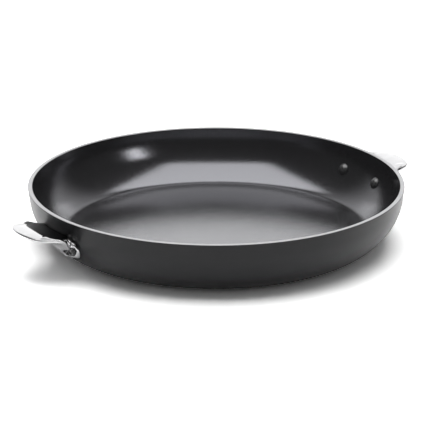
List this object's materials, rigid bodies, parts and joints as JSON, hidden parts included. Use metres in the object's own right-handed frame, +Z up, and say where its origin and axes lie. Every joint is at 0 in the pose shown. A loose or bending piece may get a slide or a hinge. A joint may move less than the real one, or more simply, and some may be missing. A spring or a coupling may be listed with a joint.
{
  "type": "frying pan",
  "caption": "Round shallow pan with two riveted side handles, dark coated inside and out, with a bare metal rim and a steel disc in the base.",
  "frame": {"origin": "centre of the resting face, on the middle of the underside", "axes": "+Z up out of the pan's mouth, +X from the pan's centre to the right handle, -X to the left handle"},
  "size_m": [0.3836, 0.3198, 0.052],
  "materials": {
    "dark_anodised_aluminium": "satin, dark coated, bare machined rim",
    "spun_steel": "spun in fine rings",
    "polished_steel": "mirror polished",
    "dark_rivet_steel": "dark coated"
  },
  "bodies": {
    "root": {"pan_body": "dark_anodised_aluminium", "induction_disc": "spun_steel", "right_handle": "polished_steel", "left_handle": "polished_steel", "right_handle_front_rivet": "dark_rivet_steel", "right_handle_rear_rivet": "dark_rivet_steel", "left_handle_front_rivet": "dark_rivet_steel", "left_handle_rear_rivet": "dark_rivet_steel"}
  },
  "joints": []
}
